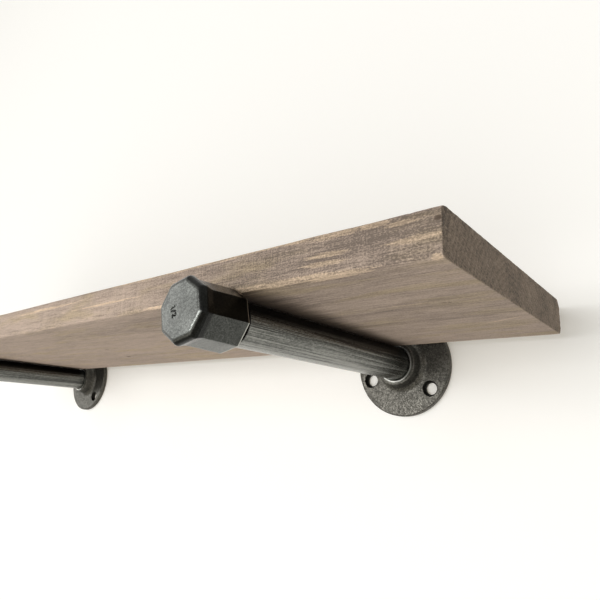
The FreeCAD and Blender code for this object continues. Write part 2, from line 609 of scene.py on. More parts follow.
def painted_pipe_shadows(finish, fibre):
    """How dark the painted shadow of each pipe on the underside is, in a band that narrows towards
    the wall.
    """
    x, y, z = finish.split(finish.place)
    from_pipe = finish.minus(finish.reckon("ABSOLUTE", x), bracket_x)
    from_pipe = finish.reckon("ABSOLUTE", from_pipe)
    from_pipe = finish.times(from_pipe, finish.remap(y, plank_low.y, plank_high.y, 1.0, 1.9))
    from_pipe = finish.times_plus(fibre, 8.0 * MM, from_pipe)
    under = finish.times(finish.remap(finish.facing()[2], -0.6, -0.9),
                         finish.remap(z, plank_low.z + 1.4 * MM, plank_low.z + 0.7 * MM))
    return finish.times(finish.remap(from_pipe, 36.0 * MM, 13.0 * MM, 0.0, 0.87), under)


def end_grain(finish, plank, saw):
    """Sawn end: growth rings round a pith low in the plank, saw marks and dark pores."""
    y, z = finish.split(finish.place)[1:3]
    pores = finish.noise((1300.0,) * 3, 3.0, 0.7)
    patchy = finish.noise((70.0,) * 3, 3.0, 0.6)
    pith_y = -92.0 * MM
    pith_z = -6.0 * MM
    sway = finish.times(finish.minus(patchy, 0.5), 9.0 * MM)
    from_pith = finish.diagonal(finish.minus(y, pith_y), finish.minus(z, pith_z))
    turns = finish.times(finish.plus(from_pith, sway), math.tau / plank.ring_spacing)
    tone = finish.weigh(0.5, (saw, 0.85), (patchy, 0.8), (pores, 1.6))
    tone = finish.times_plus(finish.reckon("SINE", turns), -0.07, tone)
    # Painted shade: the end darkens towards its front, where the edge rounds away
    front_edge_shade = finish.remap(y, plank_low.y + 7.0 * MM, plank_low.y + 1.5 * MM, 0.0, -0.13)
    return finish.shades(finish.plus(tone, front_edge_shade), plank.end_colour,
                         (0.10, 0.35), (0.50, 1.0), (0.90, 1.75))


def wood_finish():
    """Weathered, stained softwood: fuzz and fibres, rubbed places, sawn front edge and ends;
    painted pipe shadows on the underside and a painted fall of light along the plank.
    """
    plank = bpy.context.scene.pipe_shelf_plank
    finish = Finish("weathered_wood")
    x, y = finish.split(finish.place)[:2]
    hair = finish.noise((90.0, 1700.0, 1700.0), 2.0, 0.6)
    fibre = finish.noise((34.0, 620.0, 620.0), 3.0, 0.6)
    fuzz = finish.noise((1100.0, 1700.0, 1700.0), 2.0, 0.6)
    kerf = finish.noise((1300.0, 40.0, 40.0), 1.0)
    shade = finish.noise((16.0, 80.0, 80.0), 3.0, 0.6)
    saw = finish.noise((1.0, 300.0, 1500.0), 2.0, 0.6, finish.tilted_place(21.0))
    sawn = finish.weigh(0.0, (fuzz, 0.55), (kerf, 0.35), (fibre, 0.20))
    torn = finish.weigh(0.0, (fibre, 2.2), (hair, 1.4), (fuzz, 1.0))
    front = finish.remap(y, plank_low.y + 1.8 * MM, plank_low.y + 0.6 * MM)
    end = finish.remap(finish.reckon("ABSOLUTE", x),
                       plank_high.x - 0.8 * MM, plank_high.x - 0.15 * MM)

    tone = stain_and_light_tone(finish, hair, fibre, fuzz, sawn, front)
    wood = finish.shades(tone, plank.wood_colour, (0.10, 0.45), (0.50, 1.0), (0.90, 1.45))
    golden = finish.remap(shade, 0.48, 0.68, 0.0, 0.9)
    wood = finish.mix(golden, wood, plank.golden_colour, "COLOR")
    wood = rubbed_wood(finish, plank, wood, tone, torn)
    # Painted shadow of the pipes on the underside, darkest beside each pipe
    wood = finish.mix(painted_pipe_shadows(finish, fibre), wood, (0.16, 0.14, 0.12), "MULTIPLY")
    wood = finish.mix(end, wood, end_grain(finish, plank, saw))

    height = finish.weigh(0.0, (hair, 0.5), (fibre, 0.6), (fuzz, 0.3))
    height = finish.times_plus(sawn, front, height)
    height = finish.times_plus(saw, end, height)
    finish.bump(height, 0.25 * MM)
    finish.set(Base_Color=wood, Roughness=finish.remap(tone, 0.1, 0.9, 0.72, 0.86),
               Specular_IOR_Level=0.25)
    return finish.material


def cast_tone(finish, cells, weight):
    """Sand grain of a casting, 0.5 on average."""
    sand = finish.grains((cells,) * 3)
    pits = finish.noise((cells * 0.5,) * 3, 3.0, 0.65)
    broad = finish.noise((130.0,) * 3, 3.0, 0.5)
    return finish.weigh(0.5, (sand, weight), (pits, weight), (broad, 0.3))


def metal_shades(finish, tone, metal):
    """Colour of the metal from its dark pits to its rubbed high spots."""
    return finish.shades(tone, metal, (0.12, 0.15), (0.50, 1.0), (0.88, 2.6))


def flange_finish():
    """Raw sand-cast iron, machined bright round the collar's mouth, with painted shade inside the
    screw holes.
    """
    flange = bpy.context.scene.pipe_shelf_flange
    finish = Finish("sand_cast_iron")
    tone = cast_tone(finish, 1500.0, 0.32)
    base = metal_shades(finish, tone, flange.iron_colour)
    x, y, z = finish.split(finish.place)
    radius = finish.diagonal(finish.minus(finish.reckon("ABSOLUTE", x), bracket_x), z)
    inner = finish.remap(radius, pipe_radius + 1.75 * MM, pipe_radius + 1.40 * MM)
    front = finish.remap(y, -flange_height + 1.2 * MM, -flange_height + 0.9 * MM)
    base = finish.mix(finish.times(inner, front), base, flange.bare_colour)
    # Painted shade: the walls of the screw holes are darkened
    round_holes = finish.band(radius, (17.5 * MM, 18.5 * MM), (32.0 * MM, 31.0 * MM))
    out_y = finish.reckon("ABSOLUTE", finish.facing()[1])
    hole_shade = finish.times(round_holes, finish.remap(out_y, 0.85, 0.55))
    base = finish.darkened(hole_shade, base, 0.15)
    finish.bump(tone, 0.14 * MM)
    finish.set(Base_Color=base, Roughness=finish.remap(tone, 0.2, 0.8, 0.56, 0.40), Metallic=1.0)
    return finish.material


def cap_finish():
    """Blackened cast iron, lighter round the face's edge, bare at the mouth's edge, with painted
    light: lighter undersides and closed end, darker upper sides and flare.
    """
    cap = bpy.context.scene.pipe_shelf_cap
    finish = Finish("black_cast_iron")
    tone = cast_tone(finish, 2300.0, 0.23)
    right, out_y, up = finish.facing()
    y = finish.split(finish.place)[1]
    face = -(cap_mouth + cap_length + cap.crown)
    mouth = -cap_mouth + cap.seat

    # A lighter ring where the face starts to round
    rubbed = finish.band(y, (face + 0.06 * MM, face + 0.18 * MM),
                         (face + 0.75 * MM, face + 0.45 * MM))
    # Painted light: the undersides and the closed end are lighter
    lighter = finish.times_plus(rubbed, 0.13, finish.remap(up, -0.70, -0.90, 0.0, 0.22))
    lighter = finish.plus(lighter, finish.remap(out_y, -0.95, -0.985, 0.0, 0.05))
    base = metal_shades(finish, finish.plus(tone, lighter), cap.iron_colour)

    # Painted shade: the sides that face right and a little up, and the flare behind the face, are
    # darker
    sides = finish.times(finish.remap(out_y, -0.985, -0.90), finish.remap(right, 0.05, 0.22))
    painted_shade_above = finish.times(finish.band(up, (-0.25, 0.10), (0.75, 0.55)), sides)
    flare = finish.band(y, (face + 0.45 * MM, face + 0.9 * MM),
                        (face + 7.5 * MM, face + 5.5 * MM))
    base = finish.darkened(finish.reckon("MAXIMUM", painted_shade_above, flare), base, 0.22)

    # The mouth's edge is bare machined metal, painted bright also as the edge's highlight
    lip = finish.remap(y, mouth - 0.9 * MM, mouth - 0.5 * MM)
    base = finish.mix(lip, base, cap.lip_colour)
    sunk = finish.node("Attribute", attribute_name="sunk").outputs["Fac"]
    base = finish.mix(sunk, base, (0.004, 0.004, 0.004))
    gloss = finish.remap(tone, 0.2, 0.8, 0.28, 0.17)
    finish.bump(tone, 0.05 * MM)
    finish.set(Base_Color=base, Roughness=finish.times_plus(sunk, 0.4, gloss), Metallic=1.0)
    return finish.material


def steel_finish():
    """Lacquered pipe: long drawing marks along it, with painted light: lighter underneath and
    darker on top.
    """
    pipe = bpy.context.scene.pipe_shelf_pipe
    finish = Finish("dark_pipe_steel")
    fine = finish.noise((2600.0, 14.0, 2600.0), 2.0, 0.6)
    wide = finish.noise((520.0, 6.0, 520.0), 3.0, 0.55)
    rubs = finish.noise((1500.0, 260.0, 1500.0), 2.0, 0.6)
    grain = finish.grains((2200.0, 1100.0, 2200.0))
    tone = finish.weigh(0.5, (fine, 1.1), (wide, 0.9), (rubs, 0.25), (grain, 0.16))
    up = finish.facing()[2]
    # Painted light: the pipe's underside is lighter, in the streaks' colour
    under = finish.remap(up, -0.55, -0.95, 0.0, 0.16)
    streaks_and_underlight = finish.remap(finish.plus(tone, under), 0.30, 0.80)
    base = finish.mix(streaks_and_underlight, pipe.steel_colour, pipe.streak_and_underlight_colour)
    # Painted shade: the pipe's top is darker
    painted_shade_above = finish.remap(up, 0.0, 0.6)
    base = finish.darkened(painted_shade_above, base, 0.10)
    mouth = -cap_mouth + bpy.context.scene.pipe_shelf_cap.seat
    # The exposed thread behind the cap's mouth is dark, and painted near black as the shade of the
    # gap there
    thread = finish.remap(finish.split(finish.place)[1], mouth + 4.4 * MM, mouth + 3.7 * MM)
    base = finish.mix(thread, base, (0.004, 0.004, 0.004))
    gloss = finish.remap(tone, 0.2, 0.8, 0.15, 0.28)
    gloss = finish.times_plus(painted_shade_above, 0.2, gloss)
    gloss = finish.times_plus(thread, 0.4, gloss)
    finish.bump(tone, 0.14 * MM)
    finish.set(Base_Color=base, Roughness=gloss, Metallic=1.0)
    return finish.material


# ---- Plank ----

def plank_section(plank, spacing_wide, spacing_thin):
    """Closed outline of the plank's cross-section as (y, z), from the front's foot round."""
    radius = plank.edge_radius
    arc_steps = 6
    low = Vector((plank_low.y + radius, plank_low.z + radius))
    high = Vector((plank_high.y - radius, plank_high.z - radius))
    corners = [
        (low, 180.0, spacing_wide),
        (Vector((high.x, low.y)), 270.0, spacing_thin),
        (high, 0.0, spacing_wide),
        (Vector((low.x, high.y)), 90.0, spacing_thin),
    ]
    points = []
    for number, (centre, first_angle, spacing) in enumerate(corners):
        for step in range(arc_steps + 1):
            angle = math.radians(first_angle + 90.0 * step / arc_steps)
            points.append(centre + radius * Vector((math.cos(angle), math.sin(angle))))
        following, next_angle, _ = corners[(number + 1) % len(corners)]
        angle = math.radians(next_angle)
        goal = following + radius * Vector((math.cos(angle), math.sin(angle)))
        start = points[-1]
        pieces = round((goal - start).length / spacing)
        points += [start.lerp(goal, piece / pieces) for piece in range(1, pieces)]
    return np.array(points)


def end_rows(plank, half_thickness):
    """Rows of one end, from the end face's spine out over its rounding: (distance, inset)."""
    shares = (1.0, 0.9, 0.78, 0.66, 0.54, 0.42, 0.31, 0.2, 0.12)
    rows = [(0.0, share * half_thickness) for share in shares]
    arc_steps = 4
    for step in range(arc_steps + 1):
        angle = math.radians(90.0 * step / arc_steps)
        rows.append((plank.end_radius * (1 - math.cos(angle)),
                     plank.end_radius * (1 - math.sin(angle))))
    return rows


def straight_rows(plank):
    """x of the rows between the ends, set closer where the caps press into the front edge."""
    spacing = 1.75 * MM
    fine_spacing = 0.6 * MM
    seat_reach = 16.0 * MM
    wide_from = 16.5 * MM
    rows = np.arange(plank_low.x + plank.end_radius + 1.4 * MM,
                     plank_high.x - plank.end_radius - 1.0 * MM, spacing)
    rows = rows[np.abs(np.abs(rows) - bracket_x) > wide_from]
    near_cap = np.arange(-seat_reach, seat_reach, fine_spacing)
    return np.sort(np.concatenate([rows, near_cap - bracket_x, near_cap + bracket_x]))


def build_plank():
    """Plank as rings of its cross-section, which shrink to a spine over each end."""
    plank = bpy.context.scene.pipe_shelf_plank
    section = plank_section(plank, spacing_wide=1.0 * MM, spacing_thin=0.6 * MM)
    half_thickness = (plank_high.z - plank_low.z) / 2
    spine = section.copy()
    spine[:, 0] = np.clip(spine[:, 0], plank_low.y + half_thickness, plank_high.y - half_thickness)
    spine[:, 1] = (plank_low.z + plank_high.z) / 2
    end = end_rows(plank, half_thickness)
    rows = [(plank_low.x + distance, inset) for distance, inset in end]
    rows += [(x, 0.0) for x in straight_rows(plank)]
    rows += [(plank_high.x - distance, inset) for distance, inset in reversed(end)]
    grid = np.zeros((len(rows), len(section), 3))
    for row, (x, inset) in enumerate(rows):
        grid[row, :, 0] = x
        grid[row, :, 1:] = section + (spine - section) * (inset / half_thickness)
    shell = Shell()
    shell.add_rings(grid)
    piece = shell.build("weathered_plank")
    carve_plank(piece.data, plank)
    press_seats(piece.data, plank)
    return piece


def carve_plank(mesh, plank):
    """Cuts the grain, the saw marks and the worn edges into the plank."""
    points = read_points(mesh)
    normals = read_points(mesh, "normal")
    grain = layered_noise(points * (22.0, 480.0, 480.0), GRAIN_SEED, 3)
    heights = -plank.relief * (0.5 + 0.5 * grain)

    # Long edges, worn most at the front
    y_gap = np.minimum(points[:, 1] - plank_low.y, plank_high.y - points[:, 1])
    z_gap = np.minimum(points[:, 2] - plank_low.z, plank_high.z - points[:, 2])
    near_edge = 1.0 - ease(np.hypot(y_gap, z_gap), 0.6 * MM, 4.0 * MM)
    near_edge *= 1.0 - 0.7 * ease(points[:, 1], plank_low.y, plank_high.y)
    wear = layered_noise(points * (38.0, 90.0, 90.0), WEAR_SEED, 3)
    nicks = ease(smooth_noise(points * (260.0, 420.0, 420.0), NICK_SEED), 0.35, 0.9)
    heights -= near_edge * plank.edge_wear * (0.35 + 0.65 * ease(wear, -0.6, 0.9))
    heights -= near_edge * plank.edge_wear * 0.6 * nicks

    # Front edge left rough from the saw
    front = ease(-normals[:, 1], 0.7, 0.95)
    rough = layered_noise(points * (190.0, 700.0, 620.0), ROUGH_SEED, 2)
    heights -= front * plank.relief * 0.9 * (0.5 + 0.5 * rough)

    # Sawn ends, with slanting saw ridges and blunted corners
    ends = ease(np.abs(normals[:, 0]), 0.7, 0.95)
    slant = points[:, 2] * 0.93 + points[:, 1] * 0.36
    ridge_spacing = 3.1 * MM
    sway = 2.0 * smooth_noise(points * 60.0, SAW_SEED)
    ridges = np.sin(slant * math.tau / ridge_spacing + sway)
    torn = layered_noise(points * 300.0, TORN_SEED, 2)
    heights -= ends * plank.relief * (0.6 + 0.4 * ridges + 0.5 * torn)
    x_gap = plank_high.x - np.abs(points[:, 0])
    corner_gap = np.sqrt(x_gap ** 2 + y_gap ** 2 + z_gap ** 2)
    heights -= 0.2 * MM * (1.0 - ease(corner_gap, 0.0, 4.5 * MM))
    push_along_normals(mesh, heights)


def press_seats(mesh, plank):
    """Presses the caps' turned octagons into the front edge."""
    points = read_points(mesh)
    apothem = bpy.context.scene.pipe_shelf_cap.mouth_across / 2
    for side, sign in SIDES.items():
        across = points[:, 0] - sign * bracket_x
        reach = np.zeros(len(points))
        for flat in range(CAP_FLATS):
            angle = math.radians(CAP_TURNS[side] + 360.0 / CAP_FLATS * flat)
            reach = np.maximum(reach, across * math.cos(angle) + points[:, 2] * math.sin(angle))
        seat = 1.0 - ease(reach, apothem + 0.1 * MM, apothem + 0.6 * MM)
        points[:, 1] = np.maximum(points[:, 1], plank_low.y + plank.seat_depth * seat)
    write_points(mesh, points)


# ---- Flanges ----

# Steps along the outer or inner side of the share of the plate round one screw hole, and
# along each of the two sides that run out from the collar to the rim
ARC_STEPS = 48
SIDE_STEPS = 8


def plate_face(flange, height, hole_radius, inner, outer, hole_turn):
    """One face of one hole's share of the plate: rings from the screw hole out to the border."""
    half_angle = math.pi / flange.hole_count
    outward = outer - inner
    border = [(outer, half_angle * (2 * step / ARC_STEPS - 1)) for step in range(ARC_STEPS)]
    border += [(outer - outward * step / SIDE_STEPS, half_angle) for step in range(SIDE_STEPS)]
    border += [(inner, half_angle * (1 - 2 * step / ARC_STEPS)) for step in range(ARC_STEPS)]
    border += [(inner + outward * step / SIDE_STEPS, -half_angle) for step in range(SIDE_STEPS)]
    border = np.array(border)
    ring_x = flange.hole_circle / 2 + hole_radius * np.cos(hole_turn)
    ring_y = hole_radius * np.sin(hole_turn)
    ring = np.stack([np.hypot(ring_x, ring_y), np.arctan2(ring_y, ring_x)], -1)
    rings = []
    for share in np.linspace(0.0, 1.0, 13) ** 1.15:
        radius, angle = (ring + (border - ring) * share).T
        outline = np.stack([radius * np.cos(angle), radius * np.sin(angle)], -1)
        rings.append(level_ring(outline, height))
    return np.array(rings)


def build_flange(side, x):
    """Cast floor flange: plate with countersunk screw holes, rim, and collar for the pipe."""
    flange = bpy.context.scene.pipe_shelf_flange
    thickness = flange.plate_thickness
    hole = flange.hole_diameter / 2
    sink = flange.sink_diameter / 2
    root = flange.collar_root / 2
    fillet_end = root + flange.root_fillet * 1.08
    rim = flange_radius
    rim_start = rim - flange.plate_edge * 1.2
    bore = pipe_radius - 0.05 * MM
    sink_easing = 0.25 * MM
    hole_easing = 0.15 * MM
    back_easing = 0.3 * MM

    # The rings round a hole start towards the corner of its share of the plate
    half_angle = math.pi / flange.hole_count
    corner = math.atan2(-math.sin(half_angle) * rim_start,
                        math.cos(half_angle) * rim_start - flange.hole_circle / 2)
    count = 2 * (ARC_STEPS + SIDE_STEPS)
    hole_turn = corner * 0.72 + math.tau * np.arange(count) / count
    front = plate_face(flange, thickness, sink + sink_easing, fillet_end, rim_start, hole_turn)
    back = plate_face(flange, 0.0, hole + hole_easing, pipe_radius + back_easing,
                      rim - back_easing, hole_turn)
    hole_path = rounded_path([
        (sink + sink_easing, thickness, 0.0),
        (sink - 0.02 * MM, thickness, 0.18 * MM),
        (hole, thickness - flange.sink_depth, 0.3 * MM),
        (hole, hole_easing, 0.0),
        (hole + hole_easing, 0.0, 0.0),
    ], 4)
    hole_wall = turned_grid(divided(hole_path, 0.4 * MM), hole_turn)
    hole_wall[..., 0] += flange.hole_circle / 2
    shell = Shell()
    for number in range(flange.hole_count):
        for grid in (front, back, hole_wall):
            shell.add_rings(spun(grid, number * math.tau / flange.hole_count))

    rim_path = rounded_path([
        (rim_start, thickness, 0.0),
        (rim - 0.05 * MM, thickness, flange.plate_edge),
        (rim, back_easing, 0.0),
        (rim - back_easing, 0.0, 0.0),
    ], 6)
    collar_path = rounded_path([
        (fillet_end, thickness, 0.0),
        (root, thickness, flange.root_fillet),
        (flange.collar_mouth / 2, flange_height, 0.6 * MM),
        (pipe_radius + flange.mouth_chamfer, flange_height, 0.15 * MM),
        (bore, flange_height - flange.mouth_chamfer, 0.0),
        (bore, back_easing, 0.0),
        (pipe_radius + back_easing, 0.0, 0.0),
    ], 9)
    count = ARC_STEPS * flange.hole_count
    angles = np.arange(count) * math.tau / count - half_angle
    for path in (rim_path, collar_path):
        shell.add_rings(turned_grid(divided(path, 0.5 * MM), angles))
    shell.stand_out(x, 0.0, FLANGE_TURNS[side])
    piece = shell.build(side + "_cast_flange")
    roughen_casting(piece.data, 0.10 * MM, FLANGE_SEED)
    return piece


def roughen_casting(mesh, depth, seed):
    """Slight waviness and sand grain of a casting; what touches the wall stays flat."""
    points = read_points(mesh)
    wave = layered_noise(points * 170.0, seed, 2)
    sand = smooth_noise(points * 900.0, seed + 7)
    off_wall = ease(-points[:, 1], 0.2 * MM, 1.0 * MM)
    push_along_normals(mesh, off_wall * depth * (0.45 * wave + 0.3 * sand - 0.35))


# ---- Pipes ----

def thread_depth_at(height, angle, pipe, flange_end, cap_end):
    """Depth of the helical thread cut at each end of the pipe, faded out along the pipe."""
    phase = height / pipe.thread_pitch - angle / math.tau
    ridge = np.abs((phase % 1.0) * 2.0 - 1.0)
    near_flange = 1.0 - ease(height, flange_end - 1.0 * MM, flange_end + 1.0 * MM)
    near_cap = ease(height, cap_end - 4.6 * MM, cap_end - 3.2 * MM)
    return pipe.thread_depth * (1.0 - ridge) * np.maximum(near_flange, near_cap)


def build_pipe(side, x):
    """Pipe with a thread at each end, in finer rings where the thread is."""
    pipe = bpy.context.scene.pipe_shelf_pipe
    count = 112
    angles = np.arange(count) * math.tau / count
    flange_end = flange_height - pipe_start
    cap_end = cap_mouth - pipe_start - bpy.context.scene.pipe_shelf_cap.seat
    thread_spacing = pipe.thread_pitch / 8
    plain_spacing = 2.4 * MM
    heights = np.concatenate([
        np.arange(pipe.end_chamfer, flange_end + 1.2 * MM, thread_spacing),
        np.arange(flange_end + 1.6 * MM, cap_end - 5.2 * MM, plain_spacing),
        np.arange(cap_end - 4.9 * MM, pipe_length - pipe.end_chamfer, thread_spacing),
    ])
    outside = turned_grid(np.stack([np.full(len(heights), pipe_radius), heights], -1), angles)
    depth = thread_depth_at(outside[..., 2], angles, pipe, flange_end, cap_end)
    outside[..., :2] *= (1.0 - depth / pipe_radius)[..., None]
    end_radius = pipe_radius - pipe.end_chamfer
    lead_in = turned_grid(np.array([(end_radius, 0.0)]), angles)
    lead_out = turned_grid(np.array([(end_radius, pipe_length)]), angles)
    bore = pipe_radius - pipe.wall
    bore_path = divided([Vector((bore, pipe_length)), Vector((bore, 0.0))], 6 * MM)
    inside = turned_grid(bore_path, angles)
    shell = Shell()
    shell.add_rings(np.concatenate([lead_in, outside, lead_out, inside, lead_in]))
    shell.stand_out(x, pipe_start, 0.0)
    piece = shell.build(side + "_threaded_pipe")
    points = read_points(piece.data)
    drawn = layered_noise(points * (700.0, 9.0, 700.0), DRAWN_SEED, 2)
    wave = smooth_noise(points * (60.0, 22.0, 60.0), WAVE_SEED)
    push_along_normals(piece.data, (0.025 * drawn + 0.03 * wave - 0.05) * MM)
    return piece


# ---- Caps ----

def octagon_ring(apothem, corner_radius, flat_steps=10, corner_steps=6):
    """Octagon with rounded corners, as (x, y)."""
    points = []
    half = math.pi / CAP_FLATS
    arm = (apothem - corner_radius) / math.cos(half)
    run = (apothem - corner_radius) * math.tan(half)
    for number in range(CAP_FLATS):
        turn = 2 * half * number
        out = Vector((math.cos(turn), math.sin(turn)))
        along = Vector((-math.sin(turn), math.cos(turn)))
        for step in range(flat_steps):
            points.append(out * apothem + along * (run * (2 * step / flat_steps - 1)))
        centre = Vector((math.cos(turn + half), math.sin(turn + half))) * arm
        for step in range(corner_steps):
            angle = turn + 2 * half * step / corner_steps
            points.append(centre + corner_radius * Vector((math.cos(angle), math.sin(angle))))
    return np.array(points)


def cap_side_rings(cap, mouth, top):
    """Rings from the land at the mouth over neck and rim to the edge of the closed end."""
    mouth_half = cap.mouth_across / 2
    rim_half = cap.rim_across / 2
    mouth_land = 0.9 * MM
    face_land = 3.6 * MM
    profile = divided(rounded_path([
        (mouth_half - mouth_land, mouth, 0.0),
        (mouth_half, mouth, 0.45 * MM),
        (cap.neck_across / 2, top - cap.neck_distance, 5.0 * MM),
        (rim_half, top - cap.rim_distance, 1.2 * MM),
        (rim_half, top, cap.face_radius),
        (rim_half - face_land, top, 0.0),
    ], 8), 0.8 * MM)
    rings = []
    for apothem, height in profile:
        share = ease(np.array(height), top - cap.neck_distance, top - cap.face_radius / 2)
        softer = 1.0 + 1.1 * float(share)
        rings.append(level_ring(octagon_ring(apothem, cap.corner_radius * softer), height))
    return rings


def cap_face_rings(edge, top):
    """Rings of the closed end, from its octagonal edge in to fine round rings at the middle."""
    reach = np.hypot(edge[:, 0], edge[:, 1]).min()
    angles = np.arctan2(edge[:, 1], edge[:, 0])
    octagon_shares = np.linspace(1.0, 0.72, 6)[1:]
    rings = [level_ring(edge * share, top) for share in octagon_shares]
    inner_radius = reach * octagon_shares[-1]
    fine = 0.2 * MM
    for radius in np.arange(math.floor(inner_radius / fine) * fine, fine / 2, -fine):
        circle = np.column_stack([np.cos(angles), np.sin(angles)]) * radius
        octagon = edge * (radius / reach)
        blend = ease(np.array(radius), inner_radius * 0.6, inner_radius)
        rings.append(level_ring(circle * (1 - blend) + octagon * blend, top))
    rings.append(level_ring(edge * 0.0, top))
    return rings


def build_cap(side, x):
    """Octagonal cap: blind bore out to the mouth, sides up to the rim, and the closed end."""
    cap = bpy.context.scene.pipe_shelf_cap
    mouth = -cap.seat
    top = cap_length + cap.crown
    sides = cap_side_rings(cap, mouth, top)
    edge = sides[-1][:, :2]
    bore = pipe_radius
    bore_end = cap_length - cap.end_wall
    inside = turned_grid(np.array([
        (0.0, bore_end),
        (bore - 0.5 * MM, bore_end),
        (bore + 0.02 * MM, 2.0 * MM),
        (bore + 0.1 * MM, mouth + 0.8 * MM),
        (bore + 0.9 * MM, mouth),
    ]), np.arctan2(edge[:, 1], edge[:, 0]))
    shell = Shell()
    shell.add_rings(np.array([*inside, *sides, *cap_face_rings(edge, top)]))
    shell.stand_out(x, cap_mouth, CAP_TURNS[side])
    piece = shell.build(side + "_octagon_cap")
    roughen_casting(piece.data, 0.07 * MM, CAP_SEED)
    sink_numerals(piece.data, cap, x)
    return piece


def numeral_strokes(height):
    """Strokes of the size mark 1/2, as runs of (x, y) points round its middle."""
    unit = height / 6.0
    one = [(-5.6, 1.6), (-4.4, 3.0), (-4.4, -3.0)]
    slash = [(-2.2, -3.3), (1.2, 3.3)]
    two = [(2.6, 1.4), (3.0, 2.5), (4.1, 3.0), (5.3, 2.5), (5.6, 1.3), (5.0, 0.1), (2.5, -3.0),
           (5.9, -3.0)]
    return [[(x * unit, y * unit) for x, y in run] for run in (one, slash, two)]


def distance_to_strokes(x, y, strokes):
    """Distance of each (x, y) from the nearest stroke."""
    nearest = np.full(x.shape, 1.0)
    for run in strokes:
        for (start_x, start_y), (end_x, end_y) in zip(run, run[1:]):
            run_x = end_x - start_x
            run_y = end_y - start_y
            share = ((x - start_x) * run_x + (y - start_y) * run_y) / (run_x ** 2 + run_y ** 2)
            share = np.clip(share, 0.0, 1.0)
            gap = np.hypot(x - start_x - share * run_x, y - start_y - share * run_y)
            nearest = np.minimum(nearest, gap)
    return nearest


def sink_numerals(mesh, cap, x):
    """Presses the size mark into the closed end and marks where it is."""
    points = read_points(mesh)
    tilt = math.radians(-68.0)
    depth = 0.35 * MM
    across = points[:, 0] - (x - 3.6 * MM)
    up = points[:, 2] + 0.6 * MM
    u = across * math.cos(tilt) + up * math.sin(tilt)
    v = -across * math.sin(tilt) + up * math.cos(tilt)
    gap = distance_to_strokes(u, v, numeral_strokes(cap.numeral_height))
    on_face = points[:, 1] < -(cap_mouth + cap_length) + 1.0 * MM
    sunk = (1.0 - ease(gap, 0.10 * MM, 0.30 * MM)) * on_face
    points[:, 1] += sunk * depth
    write_points(mesh, points)
    mark = mesh.attributes.new("sunk", "FLOAT", "POINT")
    mark.data.foreach_set("value", sunk.astype(np.float32))


# ---- Stage ----

def sheet(name, corners, material):
    """One flat sheet of the stage."""
    mesh = bpy.data.meshes.new(name)
    mesh.from_pydata(corners, [], [(0, 1, 2, 3)])
    mesh.materials.append(material)
    made = bpy.data.objects.new(name, mesh)
    bpy.context.scene.collection.objects.link(made)


def reckoned(tree, operation, first, second):
    """The result of one sum on two sockets."""
    made = tree.nodes.new("ShaderNodeMath")
    made.operation = operation
    tree.links.new(first, made.inputs[0])
    tree.links.new(second, made.inputs[1])
    return made.outputs[0]


def seen_rays(tree):
    """The light path's outputs, and 1 for camera, glossy and transmission rays."""
    path = tree.nodes.new("ShaderNodeLightPath").outputs
    seen = reckoned(tree, "MAXIMUM", path["Is Camera Ray"], path["Is Glossy Ray"])
    return path, reckoned(tree, "MAXIMUM", seen, path["Is Transmission Ray"])


def glowing(tree, kind, tint, level):
    """Shader of that kind with its own even glow."""
    made = tree.nodes.new("ShaderNode" + kind)
    made.inputs["Color"].default_value = (*tint, 1.0)
    made.inputs["Strength"].default_value = level
    return made.outputs[0]


def mixed(tree, share, first, second):
    """The second shader as far as share says, else the first."""
    made = tree.nodes.new("ShaderNodeMixShader")
    for socket, value in zip(made.inputs, (share, first, second)):
        tree.links.new(value, socket)
    return made.outputs[0]


def backdrop_material(name, paint, glow_seen, glow_other, one_sided):
    """Pale paint that reads white where it is seen and keeps the object's soft shadow."""
    material = bpy.data.materials.new(name)
    material.use_nodes = True
    tree = material.node_tree
    tree.nodes.clear()
    path, seen = seen_rays(tree)
    matt = tree.nodes.new("ShaderNodeBsdfDiffuse")
    matt.inputs["Color"].default_value = (*paint, 1.0)
    lifted = tree.nodes.new("ShaderNodeAddShader")
    tree.links.new(matt.outputs[0], lifted.inputs[0])
    tree.links.new(glowing(tree, "Emission", (1.0, 0.90, 0.68), glow_seen), lifted.inputs[1])
    glow = glowing(tree, "Emission", (1.0, 0.99, 0.965), glow_other)
    result = mixed(tree, seen, glow, lifted.outputs[0])
    if one_sided:
        back = tree.nodes.new("ShaderNodeNewGeometry").outputs["Backfacing"]
        through = reckoned(tree, "MULTIPLY", back, path["Is Camera Ray"])
        clear = tree.nodes.new("ShaderNodeBsdfTransparent").outputs[0]
        result = mixed(tree, through, result, clear)
    tree.links.new(result, tree.nodes.new("ShaderNodeOutputMaterial").inputs[0])
    return material


def light_room(level):
    """World: white where it is seen, a plain soft level on matt surfaces."""
    world = bpy.data.worlds.new("room")
    bpy.context.scene.world = world
    world.use_nodes = True
    tree = world.node_tree
    tree.nodes.clear()
    seen = seen_rays(tree)[1]
    soft = glowing(tree, "Background", (1.0, 0.99, 0.97), level)
    white = glowing(tree, "Background", (1.0, 0.99, 0.96), 1.0)
    result = mixed(tree, seen, soft, white)
    tree.links.new(result, tree.nodes.new("ShaderNodeOutputWorld").inputs[0])


def aim_lamp(data, towards_left, elevation, distance=0.0):
    """Puts the lamp in its direction from the shelf, in degrees, and turns it to face it."""
    side = math.radians(towards_left)
    rise = math.radians(elevation)
    away = Vector((-math.sin(side) * math.cos(rise),
                   -math.cos(side) * math.cos(rise),
                   math.sin(rise)))
    lamp = bpy.data.objects.new(data.name, data)
    lamp.location = away * distance
    lamp.rotation_euler = away.to_track_quat("Z", "Y").to_euler()
    bpy.context.scene.collection.objects.link(lamp)


